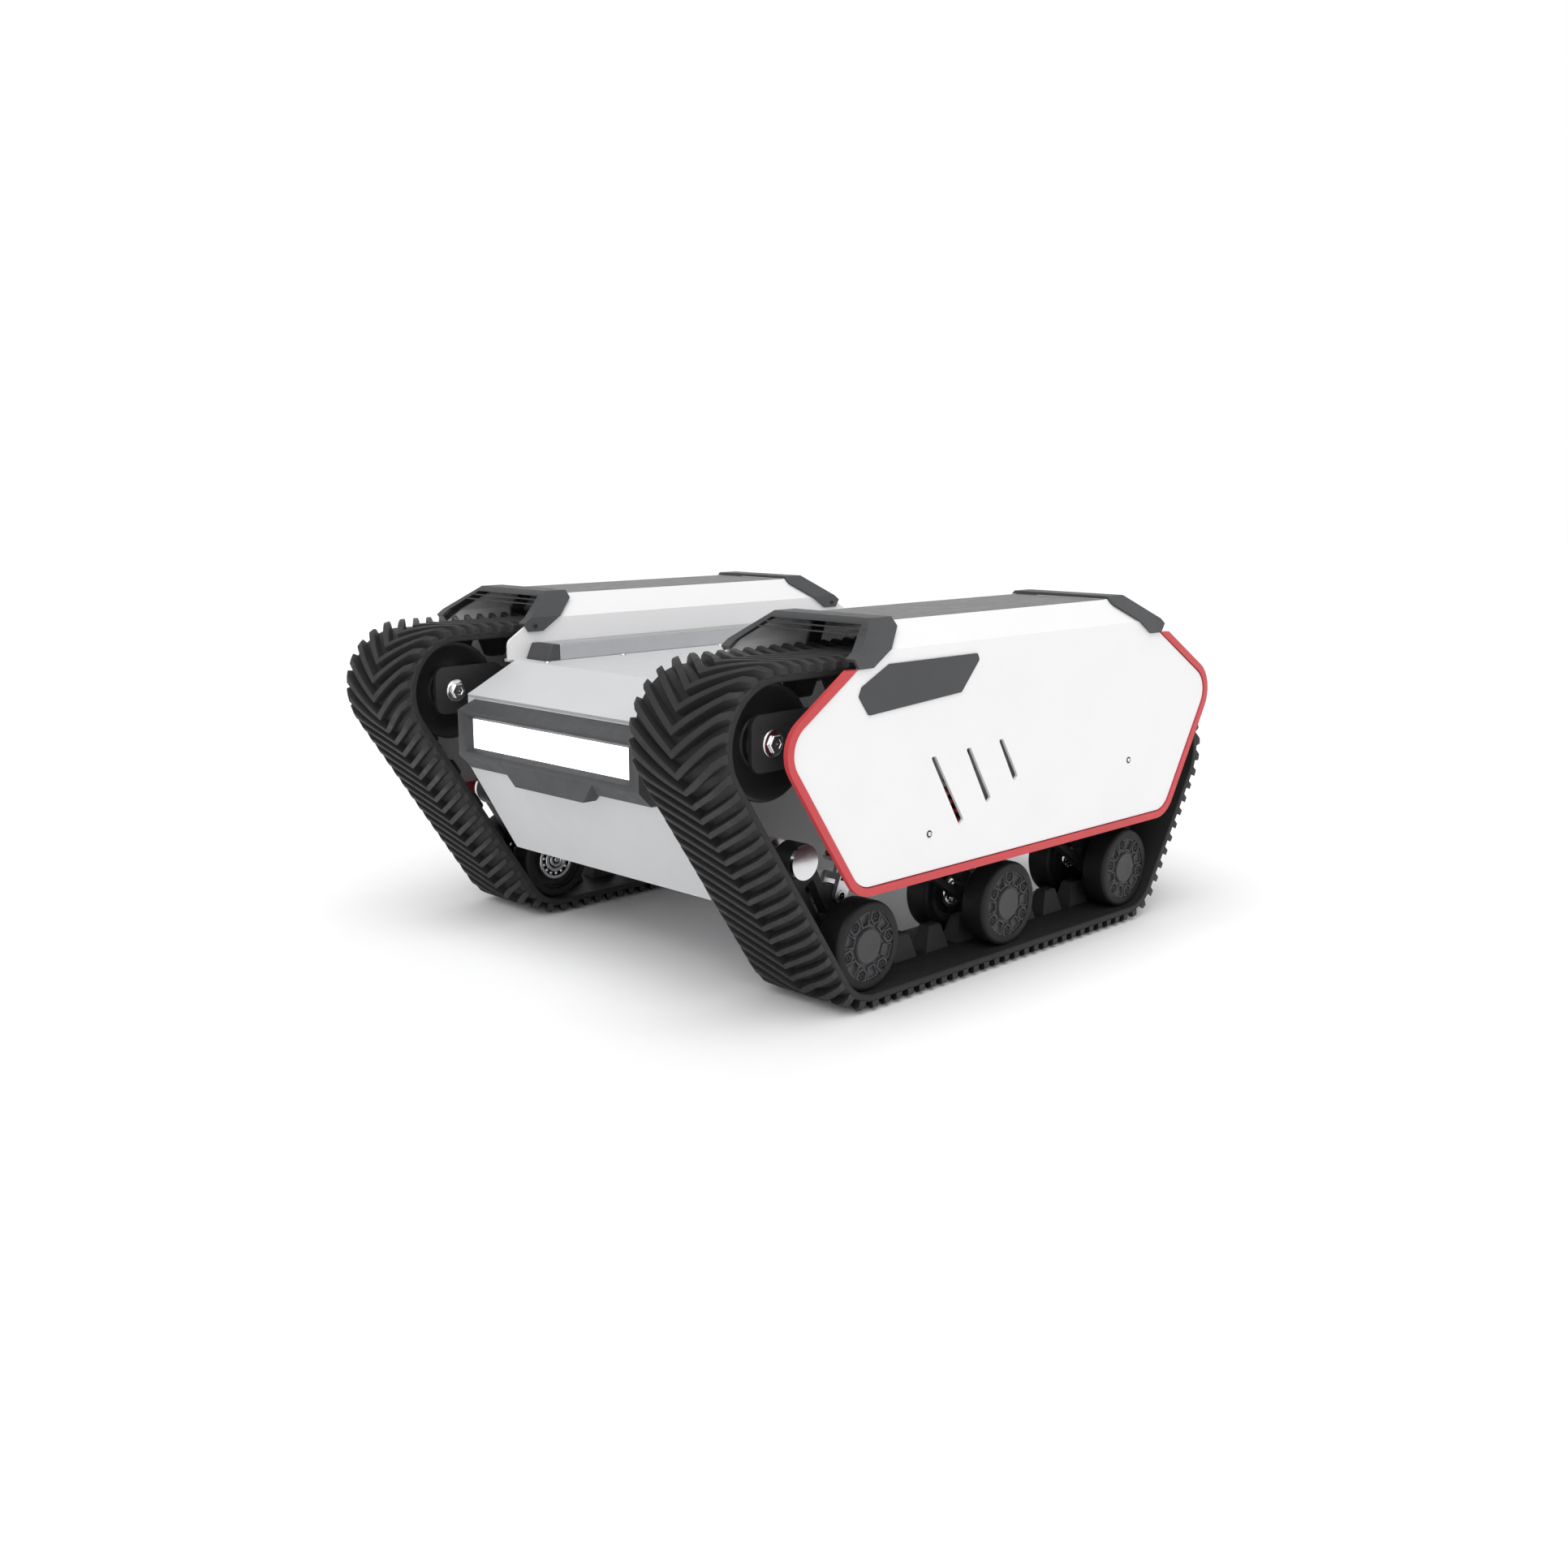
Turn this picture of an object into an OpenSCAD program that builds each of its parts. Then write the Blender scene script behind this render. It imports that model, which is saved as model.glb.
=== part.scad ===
// Tracked robot chassis: a sheet-metal hull between two rubber tracks, each with three
// sprung road wheels, a front idler, a rear drive sprocket and a return roller, and with
// a covered pod over each track. Millimetres. +X is forward, +Y is the robot's left,
// +Z is up, and the ground is Z = 0.

/* [Track] */
// Distance from the middle of the robot to the middle of each track
track_y = 316.5; // [310:0.5:325]
// Width of the rubber belt
belt_w = 159; // [140:1:162]
// Thickness of the belt between lugs
belt_t = 9; // [7:0.5:11]
// Height of a tread lug
lug_h = 13; // [10:0.5:14]
// Wanted spacing of the tread lugs
lug_pitch = 22; // [20:0.5:26]
// Height of the guide horns inside the belt
guide_h = 34; // [28:1:35]

/* [Wheels] */
// Radius of the belt's inside where it rides on a road wheel
road_r = 58; // [56:0.5:60]
// Radius of the belt's inside on the idler and the sprocket
end_r = 69; // [66:0.5:70]
// Radius of the belt's inside on the return roller
roller_r = 56; // [54:0.5:58]
// Distance between road wheel axles
wheel_gap = 280.5; // [275:0.5:285]
// Forward position of the middle road wheel
mid_wheel_x = -39.5; // [-45:0.5:-35]
// Running gap between the belt and any wheel
belt_clear = 0.5; // [0.5:0.1:1]

/* [Hull] */
// Width of the hull between the tracks
hull_w = 416; // [400:1:420]
// Ground clearance under the hull
floor_z = 124; // [120:1:135]
// Height of the deck
deck_z = 393; // [391:1:395]
// Thickness of the hull sheet
sheet = 4; // [3:0.5:5]
// Spacing of the payload holes along the robot
payload_x = 240; // [200:10:300]
// Spacing of the payload holes across the robot
payload_y = 200; // [160:10:220]
// Diameter of a payload hole
payload_d = 5.5; // [4.5:0.5:6.5]

/* [Pods] */
// Width of a pod at its side panels
pod_w = 215; // [213:1:219]
// Height of the crease where the pod's sides lean inward
crease_z = 449; // [447:1:452]
// Height of the pod's flat top
pod_top_z = 480; // [478:1:484]
// Width of the pod's flat top
pod_top_w = 157; // [150:1:165]
// Width of the coloured rim round a side panel
rim_w = 10; // [8:0.5:14]

/* [Suspension] */
// Radius of the suspension pivot shafts
pivot_r = 13; // [12:0.5:14]
// Length of a shock absorber from eye to eye
shock_len = 150; // [145:1:155]
// Outer radius of a spring
spring_r = 22; // [20:0.5:23]

/* [Hidden] */
$fn = 64;

// Wheel centres as [x, z], and the circles the belt runs round, anticlockwise from the front wheel
wheel_z = lug_h + belt_t + road_r;
front_wheel = [mid_wheel_x + wheel_gap, wheel_z];
mid_wheel = [mid_wheel_x, wheel_z];
rear_wheel = [mid_wheel_x - wheel_gap, wheel_z];
idler_c = [408.5, 353];
roller_c = [-240, 365];
sprocket_c = [-408.5, 241];
loop = [
  [front_wheel, road_r], [idler_c, end_r], [roller_c, roller_r], [sprocket_c, end_r], [rear_wheel, road_r]
];

// Side profile of the hull, outside, as [x, z]
nose_low = [342, floor_z];
nose_high = [415, 250.8];
nose_top = [415, 353.6];
hood_rear = [336, deck_z];
tail_low = [-400, floor_z];
tail_mid = [-470, 200];
tail_top = [-470, 352];
tail_hood = [-395, deck_z];
hull_side = [nose_low, nose_high, nose_top, hood_rear, tail_hood, tail_top, tail_mid, tail_low];

// Side outline of a side panel with its rim, as [x, z], sharp corners
panel_outline = [[309, 160], [442, 356], [254, 480.5], [-259, 480.5], [-474, 352], [-358, 160]];
panel_corner_r = 46;
panel_screws = [[178, 218], [-255, 255]];
panel_gap = 1.5;
panel_t = 4;

// Each suspension unit as [road wheel centre, rise of the swing arm, rearward lean of the shock absorber]
front_unit = [front_wheel, 60, 20];
mid_unit = [mid_wheel, 35, -5.7];
rear_unit = [rear_wheel, 35, -5.7];
// The swing arm's own frame has its axle at 0 and its pivot along X
arm_len = 125;
shock_ear = [44, 31];

// Widths across one track, measured from its middle
disc_in = 28.5;
disc_out = 68;
arm_half = 8;
fork_in = 9;
fork_out = 16;

hull_half = hull_w / 2;
pod_half = pod_w / 2;
pod_top_half = pod_top_w / 2;
deck_half = 232;
cap_t = 4.5;
rib_x = [186, -233];
rib_w = 24;
rail_x = [-370, 292];
rail_y = [159, 207];
rail_h = 22;
wedge_len = 24;
fit = 0.05;

// ---------- plane geometry ----------
function unit(v) = v / norm(v);
function wrap180(a) = a > 180 ? a - 360 : a <= -180 ? a + 360 : a;
function wrap360(a) = a < 0 ? wrap360(a + 360) : a >= 360 ? wrap360(a - 360) : a;

// Arc points that round the corner b between a and c
function corner_arc(a, b, c, r, n) =
  let (
    u = unit(a - b),
    v = unit(c - b),
    half = acos(u * v) / 2,
    centre = b + unit(u + v) * r / sin(half),
    first = b + u * r / tan(half) - centre,
    last = b + v * r / tan(half) - centre,
    a0 = atan2(first[1], first[0]),
    turn = wrap180(atan2(last[1], last[0]) - a0)
  )
  [for (i = [0 : n]) centre + r * [cos(a0 + turn * i / n), sin(a0 + turn * i / n)]];

function rounded(pts, r, n = 8) =
  let (count = len(pts))
  [for (i = [0 : count - 1])
    each corner_arc(pts[(i + count - 1) % count], pts[i], pts[(i + 1) % count], r, n)];

// An anticlockwise convex outline moved inward by d
function inset(pts, d) =
  let (count = len(pts))
  [for (i = [0 : count - 1])
    let (
      e1 = unit(pts[i] - pts[(i + count - 1) % count]),
      e2 = unit(pts[(i + 1) % count] - pts[i]),
      n1 = [-e1[1], e1[0]],
      n2 = [-e2[1], e2[0]]
    )
    pts[i] + d * (n1 + n2) / (1 + n1 * n2)];

// The inner side of a strip of sheet that follows the points on their left
function sheet_strip(pts, t) =
  let (last = len(pts) - 1)
  concat(pts, [for (i = [last : -1 : 0])
    let (
      e1 = i > 0 ? unit(pts[i] - pts[i - 1]) : unit(pts[1] - pts[0]),
      e2 = i < last ? unit(pts[i + 1] - pts[i]) : e1,
      n1 = [-e1[1], e1[0]],
      n2 = [-e2[1], e2[0]]
    )
    pts[i] + t * (n1 + n2) / (1 + n1 * n2)]);

// ---------- the belt's path ----------
sides = len(loop);
function circle_at(i) = loop[(i + sides) % sides];
// Direction of the outward normal on the straight run that leaves circle i
function run_normal(i) =
  let (
    from = circle_at(i),
    to = circle_at(i + 1),
    gap = to[0] - from[0]
  )
  atan2(gap[1], gap[0]) - acos((from[1] - to[1]) / norm(gap));
function run_length(i) =
  let (gap = circle_at(i + 1)[0] - circle_at(i)[0], dr = circle_at(i + 1)[1] - circle_at(i)[1])
  sqrt(gap * gap - dr * dr);
function arc_turn(i) = wrap360(run_normal(i) - run_normal(i - 1));
function arc_length(i) = (circle_at(i)[1] + belt_t / 2) * arc_turn(i) * PI / 180;
function span(i) = arc_length(i) + run_length(i);
function total_to(i) = i <= 0 ? 0 : span(i - 1) + total_to(i - 1);
starts = [for (i = [0 : sides]) total_to(i)];
belt_len = starts[sides];
lug_count = round(belt_len / lug_pitch);
guide_count = round(belt_len / (3 * lug_pitch));

function dir(a) = [cos(a), sin(a)];
function piece_of(s, i = 0) = s < starts[i + 1] ? i : piece_of(s, i + 1);
// The point at distance s along the belt and h outward from its inside: [point, outward angle]
function belt_frame(s0, h = 0) =
  let (
    s = s0 < 0 ? s0 + belt_len : s0 >= belt_len ? s0 - belt_len : s0,
    i = piece_of(s),
    local = s - starts[i],
    c = circle_at(i),
    on_arc = local < arc_length(i),
    a = on_arc ? run_normal(i - 1) + arc_turn(i) * local / arc_length(i) : run_normal(i),
    along = on_arc ? 0 : local - arc_length(i)
  )
  [c[0] + (c[1] + h) * dir(a) + along * dir(a + 90), a];
function belt_point(s, h) = belt_frame(s, h)[0];

// ---------- solids from side and cross profiles ----------
// A side profile [x, z] swept from y0 to y1
module across(y0, y1, pts) {
  translate([0, y1, 0]) rotate([90, 0, 0]) linear_extrude(y1 - y0) polygon(pts);
}
// A cross profile [y, z] swept from x0 to x1
module along(x0, x1, pts) {
  translate([x0, 0, 0]) rotate([90, 0, 90]) linear_extrude(x1 - x0) polygon(pts);
}
// A round bar across the robot at c = [x, z]
module bar_y(c, r, y0, y1) {
  translate([c[0], y1, c[1]]) rotate([90, 0, 0]) cylinder(r = r, h = y1 - y0);
}
module bar_x(y, z, r, x0, x1) {
  translate([x0, y, z]) rotate([0, 90, 0]) cylinder(r = r, h = x1 - x0);
}
// Draws the left side's pieces and their mirror images
module both_sides() {
  children();
  mirror([0, 1, 0]) children();
}
// A turned shape about the axis across the robot, from [radius, y] points
module turned(c, pts) {
  translate([c[0], track_y, c[1]]) rotate([-90, 0, 0]) rotate_extrude() polygon(pts);
}

// ---------- hull ----------
module hull_tub() {
  inner = inset(hull_side, sheet);
  half = hull_half - sheet;
  color("silver") difference() {
    union() {
      for (y = [-hull_half, half]) across(y, y + sheet, inner);
      across(-half - 1, half + 1, [
        tail_low + [2, sheet], nose_low + [-4, sheet], nose_low + [-6, 2 * sheet], tail_low + [2, 2 * sheet]
      ]);
      // Cross members that carry the deck
      for (x = [-300, -80, 140]) translate([x, -half - 1, deck_z - sheet - 22]) cube([30, 2 * half + 2, 22]);
    }
    both_sides() bar_y(sprocket_c, 24, half - 2, hull_half + 1);
  }
}

module end_sheet(pts) {
  across(-hull_half, hull_half, sheet_strip(pts, sheet));
}

module front_plate() {
  color("lightgrey")
    end_sheet([[nose_low[0] - 60, floor_z], nose_low, nose_high, nose_top - [0, 1.2 * sheet]]);
}

module rear_plate() {
  color("dimgrey") difference() {
    union() {
      end_sheet([tail_top - [0, 1.2 * sheet], tail_mid, tail_low, tail_low + [60, 0]]);
      // Raised control panel with sockets
      translate([tail_mid[0] - 4, -150, 232]) cube([4.5, 300, 92]);
      for (y = [-60, -105]) bar_x(y, 278, 14, tail_mid[0] - 14, tail_mid[0] - 3);
      bar_x(95, 278, 24, tail_mid[0] - 10, tail_mid[0] - 3);
      bar_x(20, 278, 13, tail_mid[0] - 7, tail_mid[0] - 3);
    }
    for (y = [-60, -105]) bar_x(y, 278, 10, tail_mid[0] - 20, tail_mid[0] - 6);
    bar_x(95, 278, 12.3, tail_mid[0] - 20, tail_mid[0] + 20);
    bar_x(20, 278, 9.3, tail_mid[0] - 20, tail_mid[0] + 20);
  }
}

// A sheet that slopes from the deck's end to just beyond the top of an end plate
hood_half = hull_half - 2;
module hood(inner_end, outer_end) {
  lip = outer_end + 2.3 * unit(outer_end - inner_end);
  intersection() {
    across(-hood_half, hood_half, sheet_strip([lip, inner_end], sheet));
    translate([inner_end[0], -hull_half, 0]) cube([200, hull_w, 600]);
  }
}
module hoods() {
  color("lightgrey") {
    hood(hood_rear, nose_top);
    mirror([1, 0, 0]) hood([-tail_hood[0], deck_z], [-tail_top[0], tail_top[1]]);
  }
}

module deck_plate() {
  color("gainsboro") difference() {
    translate([tail_hood[0], -deck_half, deck_z - sheet])
      cube([hood_rear[0] - tail_hood[0], 2 * deck_half, sheet]);
    for (x = [-1, 1], y = [-1, 1])
      translate([x * payload_x / 2, y * payload_y / 2, deck_z - 10]) cylinder(d = payload_d, h = 20);
    // Cable outlet behind the payload area
    translate([-330, 0, deck_z - 10]) cylinder(r = 22, h = 20);
  }
}

module deck_rail() {
  w = rail_y[1] - rail_y[0];
  difference() {
    translate([rail_x[0], rail_y[0], deck_z]) cube([rail_x[1] - rail_x[0], w, rail_h]);
    for (y = [rail_y[0] + 0.25 * w, rail_y[0] + 0.75 * w]) {
      along(rail_x[0] - 1, rail_x[1] + 1, [
        [y - 3, deck_z + rail_h + 1], [y - 3, deck_z + rail_h - 2], [y - 6, deck_z + rail_h - 2],
        [y - 6, deck_z + rail_h - 5], [y - 3, deck_z + rail_h - 8], [y + 3, deck_z + rail_h - 8],
        [y + 6, deck_z + rail_h - 5], [y + 6, deck_z + rail_h - 2], [y + 3, deck_z + rail_h - 2],
        [y + 3, deck_z + rail_h + 1]
      ]);
    }
    translate([rail_x[0] - 1, rail_y[0] + 0.3 * w, deck_z + 4])
      cube([rail_x[1] - rail_x[0] + 2, 0.4 * w, 8]);
  }
}
// Wedge that closes the end of a rail, pointing along +X from x
module rail_wedge(x) {
  translate([x, 0, 0]) across(rail_y[0], rail_y[1], [
    [0, deck_z], [wedge_len, deck_z], [wedge_len - 10, deck_z + rail_h + 0.5], [0, deck_z + rail_h + 0.5]
  ]);
}
module deck_rails() {
  both_sides() {
    color("silver") deck_rail();
    color("dimgrey") {
      rail_wedge(rail_x[1]);
      translate([rail_x[0], 0, 0]) mirror([1, 0, 0]) rail_wedge(0);
    }
  }
}

// ---------- front light ----------
bumper_half = 192;
bumper_x = 443;
lens_half = 167;
lens_z = [284.5, 324.5];
lens_x = 435.5;
plate_z = [243, 278];
plate_half = [73, 105];
module front_bumper() {
  color("dimgrey") difference() {
    union() {
      across(-bumper_half, bumper_half, [
        [nose_top[0], 253], [424, 253], [bumper_x, 272], [bumper_x, 335], [nose_top[0], 347]
      ]);
      // Name plate, left blank
      intersection() {
        across(-bumper_half, bumper_half, [
          [nose_top[0], plate_z[0]], [bumper_x - 7, plate_z[0]],
          [bumper_x, plate_z[1]], [nose_top[0], plate_z[1]]
        ]);
        along(nose_top[0], bumper_x, [
          [-plate_half[0], plate_z[0]], [plate_half[0], plate_z[0]],
          [plate_half[1], plate_z[1]], [-plate_half[1], plate_z[1]]
        ]);
      }
    }
    // Pocket for the light, with sloping sides in front of it
    translate([nose_top[0] + 8, -lens_half, lens_z[0]])
      cube([30, 2 * lens_half, lens_z[1] - lens_z[0]]);
    hull() {
      translate([lens_x, -lens_half, lens_z[0]]) cube([0.1, 2 * lens_half, lens_z[1] - lens_z[0]]);
      translate([bumper_x, -lens_half - 7, lens_z[0] - 5])
        cube([1, 2 * lens_half + 14, lens_z[1] - lens_z[0] + 10]);
    }
  }
}
module light_lens() {
  color("white") translate([nose_top[0] + 8, -lens_half + 0.3, lens_z[0]])
    cube([lens_x - nose_top[0] - 8, 2 * lens_half - 0.6, lens_z[1] - lens_z[0]]);
}

// ---------- pods ----------
// Cross profile of a pod's outside, from its inner foot over the top to its outer foot
function pod_line(foot_in, foot_out, grow = 0) = [
  [track_y + pod_half + grow, foot_out],
  [track_y + pod_half + grow, crease_z + grow * 0.4],
  [track_y + pod_top_half + grow * 0.4, pod_top_z + grow],
  [track_y - pod_top_half - grow * 0.4, pod_top_z + grow],
  [track_y - pod_half - grow, crease_z + grow * 0.4],
  [track_y - pod_half - grow, foot_in]
];

module vent_slot(low, high) {
  across(0, 600, rounded([low + [-4.5, 3], low + [4.5, -3], high + [4.5, 0], high + [-4.5, 0]], 2, 3));
}
module side_panels() {
  line = pod_line(0, 0);
  // The panel keeps clear of the rim but runs up to the roof strip
  raised = [for (p = panel_outline) p[1] > crease_z ? [p[0] * 0.91, p[1] + 14.5] : p];
  color("whitesmoke") both_sides() difference() {
    intersection() {
      across(track_y, track_y + 200, rounded(inset(raised, rim_w + panel_gap), panel_corner_r - 12));
      along(-600, 600, sheet_strip([line[0], line[1], line[2]], panel_t));
    }
    vent_slot([116, 223], [172.5, 313]);
    vent_slot([61.5, 243], [105, 315.5]);
    vent_slot([6, 264], [39.5, 319]);
    for (p = panel_screws) bar_y(p, 2.7, track_y, track_y + 200);
  }
}
inner_outline = [[345, 370], [345, 419], [249, 480.2], [-257, 480.2], [-358, 419], [-358, 370]];
module inner_panels() {
  line = pod_line(0, 0);
  color("whitesmoke") both_sides() intersection() {
    across(0, track_y, rounded(inner_outline, 12, 5));
    along(-600, 600, sheet_strip([line[3], line[4], [line[5][0], deck_z]], panel_t));
    translate([-600, 0, deck_z]) cube([1200, 600, 300]);
  }
}
module top_strips() {
  strip_half = pod_top_half - panel_t * 0.8;
  color("dimgrey") both_sides()
    translate([-229.5, track_y - strip_half, pod_top_z - 3]) cube([451, 2 * strip_half, 3]);
}
// Coloured ring round the panel with a lip behind the panel's edge
module panel_rims() {
  back = track_y + pod_half - panel_t;
  color("firebrick") both_sides() intersection() {
    difference() {
      union() {
        across(back, track_y + pod_half + 2, rounded(panel_outline, panel_corner_r));
        across(back - 4, back + 1, rounded(inset(panel_outline, 3), panel_corner_r - 3));
      }
      across(back, track_y + 200, rounded(inset(panel_outline, rim_w), panel_corner_r - rim_w));
      across(track_y, track_y + 200,
        rounded(inset(panel_outline, 2 * rim_w + 2), panel_corner_r - 2 * rim_w));
    }
    translate([-600, 0, 0]) cube([1200, 600, 430.5]);
  }
}
module side_badges() {
  color("dimgrey") both_sides() across(track_y + pod_half, track_y + pod_half + 2,
    rounded([[256, 433], [93, 433], [89, 425], [123, 387.5], [291, 376], [308, 399], [303, 410]], 3, 3));
}

// Arched cover over the end of a pod, with a slotted face, for the front end
module pod_cap(x_shift) {
  face_top = [258, pod_top_z + cap_t];
  face_low = [319, 443];
  bevel = face_low - face_top;
  slope = unit(bevel);
  back = [-slope[1], slope[0]] * -cap_t;
  outer = pod_line(400, 400, cap_t);
  inner = pod_line(400, 400, 0.2);
  window = [
    [track_y + 97, 400], [track_y + 97, crease_z + 1], [track_y + 75, 477.5],
    [track_y - 75, 477.5], [track_y - 97, crease_z + 1], [track_y - 97, 400]
  ];
  translate([x_shift, 0, 0]) difference() {
    union() {
      intersection() {
        difference() {
          along(200, 400, outer);
          along(199, 401, inner);
        }
        across(0, 600, [
          [222, 500], [222, 474], [256, 451], [287, 431], [311, 431], face_low, face_top, [face_top[0], 500]
        ]);
      }
      difference() {
        intersection() {
          along(200, 400, outer);
          across(0, 600, [face_top, face_top + back, face_low + back, face_low]);
        }
        along(199, 401, window);
      }
      // Two thin bars across the window
      intersection() {
        along(200, 400, outer);
        union() {
          for (f = [0.29, 0.43]) translate([face_top[0] + f * bevel[0], 0, face_top[1] + f * bevel[1]])
            across(track_y - 90, track_y + 90, [[-4, -0.8], [-0.5, -0.8], [-0.5, 0.8], [-4, 0.8]]);
        }
      }
    }
  }
}
module pod_caps() {
  color("dimgrey") both_sides() {
    pod_cap(0);
    mirror([1, 0, 0]) pod_cap(8);
  }
}

// A bent flat bar that carries the pod's covers over the track, with a leg on each side
rib_t = 3.5;
leg_out = 95;
leg_in = -84.5;
module pod_rib(x, screw) {
  foot = screw[1] - 12;
  line = [
    [track_y + leg_out, foot],
    [track_y + leg_out, crease_z - 2],
    [track_y + pod_top_half - 8, pod_top_z - 7],
    [track_y - pod_top_half + 5, pod_top_z - 7],
    [track_y + leg_in, crease_z - 6],
    [track_y + leg_in, deck_z - sheet]
  ];
  difference() {
    union() {
      along(x - rib_w / 2, x + rib_w / 2, sheet_strip(line, rib_t));
      // Pad that the side panel is screwed to
      translate([screw[0] - 12, track_y + leg_out - 1, foot])
        cube([24 + abs(screw[0] - x) / 2, pod_half - panel_t - leg_out + 1, 26]);
      // Pad under the top strip
      translate([x - rib_w / 2, track_y - 40, pod_top_z - 7.5]) cube([rib_w, 80, 4.5]);
    }
    bar_y(screw, 2.7, track_y, track_y + 200);
  }
}
module pod_frames() {
  color("grey") both_sides() {
    pod_rib(rib_x[0], panel_screws[0]);
    pod_rib(rib_x[1], panel_screws[1]);
  }
}

// ---------- tracks ----------
module track_belt() {
  step = belt_len / lug_count;
  outer = [for (k = [0 : lug_count - 1]) each [
    belt_point(k * step - 5.5, belt_t), belt_point(k * step - 4, belt_t + lug_h),
    belt_point(k * step + 4, belt_t + lug_h), belt_point(k * step + 5.5, belt_t)
  ]];
  inner = [for (k = [0 : 2 * lug_count - 1]) belt_point(k * step / 2, 0)];
  n = len(outer);
  guide_step = belt_len / guide_count;
  color([0.2, 0.2, 0.2]) union() {
    translate([0, track_y + belt_w / 2, 0]) rotate([90, 0, 0]) linear_extrude(belt_w)
      polygon(concat(outer, inner), paths = [
        [for (i = [0 : n - 1]) i],
        [for (i = [0 : len(inner) - 1]) n + i]
      ]);
    for (k = [0 : guide_count - 1]) guide_horn(belt_frame(k * guide_step, 0));
  }
}
module guide_horn(at) {
  translate([at[0][0], track_y, at[0][1]]) rotate([0, -at[1], 0]) across(-14, 14, [
    [4, -23], [0, -23], [-guide_h, -12], [-guide_h, 12], [0, 23], [4, 23]
  ]);
}

// ---------- wheels at the ends of the tracks ----------
axle_r = 10;
roller_axle_r = 8;
shock_pin_r = 7;
ear_hole_r = 8;
module twin_disc(c, r, hub_r, bore) {
  for (s = [-1, 1]) turned(c, [
    [bore, s * 62], [bore, s * disc_in], [r - 8, s * disc_in], [r, s * (disc_in + 3)],
    [r, s * 60], [r - 3, s * 62.5], [r - 6, s * 62.5], [r - 13, s * 56], [hub_r + 6, s * 53], [hub_r, s * 56],
    [hub_r, s * 62]
  ]);
  turned(c, [[bore, -disc_in - 1], [bore, disc_in + 1], [hub_r, disc_in + 1], [hub_r, -disc_in - 1]]);
}
module idler() {
  color([0.15, 0.15, 0.15]) twin_disc(idler_c, end_r - belt_clear, 31, axle_r + fit);
}

sprocket_teeth = 14;
shaft_r = 12;
module sprocket() {
  c = sprocket_c;
  r = end_r - belt_clear;
  color([0.3, 0.3, 0.32]) {
    difference() {
      union() {
        for (s = [-1, 1]) turned(c, [
          [0, s * 70], [0, s * disc_in], [r, s * disc_in], [r, s * 66], [r - 12, s * 66], [r - 12, s * 52],
          [28, s * 52], [28, s * 70]
        ]);
        turned(c, [[0, -disc_in - 1], [0, disc_in + 1], [27, disc_in + 1], [27, -disc_in - 1]]);
      }
      for (k = [0 : sprocket_teeth - 1]) {
        a = k * 360 / sprocket_teeth;
        bar_y(c + (r + 2) * dir(a), 7, track_y - 90, track_y + 90);
      }
      for (k = [0 : 5]) bar_y(c + 42 * dir(60 * k + 30), 8, track_y - 90, track_y + 90);
    }
    bar_y(c, shaft_r, 152, track_y - 60);
  }
}

module roller() {
  color([0.2, 0.2, 0.2]) twin_disc(roller_c, roller_r - belt_clear, 18, roller_axle_r + fit);
}

// Plates that hold the idler, one on each side of it inside the belt
arm_gap = 64;
arm_out = 70;
module idler_arms() {
  plate = rounded([[441, 321], [441, 387], [330, 387], [330, 321]], 14, 6);
  color([0.25, 0.25, 0.27]) both_sides() {
    across(track_y + arm_gap, track_y + arm_out, plate);
    across(track_y + arm_gap, track_y + arm_out,
      rounded([[340, 324], [340, 380], [176, 330], [176, 290]], 6, 4));
    across(track_y - arm_out, track_y - arm_gap, plate);
    across(track_y - arm_out, track_y - arm_gap,
      rounded([[340, 322], [340, 384], [294, 370], [294, 312]], 6, 4));
    // Block that carries the inner plate on the hull
    translate([296, hull_half, 318]) cube([30, track_y - arm_out - hull_half, 48]);
    // Block that ties the outer plate to the pod rib
    translate([178, track_y + arm_out, 296]) cube([18, leg_out - rib_t - arm_out, 28]);
  }
}

// Where a unit's shock absorber starts on the swing arm and where it ends on the hull, as [x, z]
function turn2(v, a) = [v[0] * cos(a) - v[1] * sin(a), v[0] * sin(a) + v[1] * cos(a)];
function pivot_at(unit) = unit[0] + turn2([arm_len, 0], unit[1]);
function foot_at(unit) = unit[0] + turn2(shock_ear, unit[1]);
function head_at(unit) = foot_at(unit) + shock_len * [-sin(unit[2]), cos(unit[2])];

// Fixed shafts: suspension pivots, shock pins, idler and roller axles
module unit_shafts(unit) {
  pivot = pivot_at(unit);
  head = head_at(unit);
  bar_y(pivot, pivot_r, hull_half, track_y + 18);
  bar_y(pivot, pivot_r + 9, track_y + 13.5, track_y + 19);
  bar_y(pivot, pivot_r + 9, hull_half, track_y - 30);
  bar_y(head, shock_pin_r, hull_half, track_y + 12);
  bar_y(head, shock_pin_r + 3, hull_half, track_y - 12);
}
module pivot_shafts() {
  color("lightsteelblue") both_sides() {
    for (unit = [front_unit, mid_unit, rear_unit]) unit_shafts(unit);
    bar_y(idler_c, axle_r, track_y - arm_gap, track_y + arm_gap);
    bar_y(roller_c, roller_axle_r, hull_half, track_y + leg_out - rib_t);
  }
}

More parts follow.
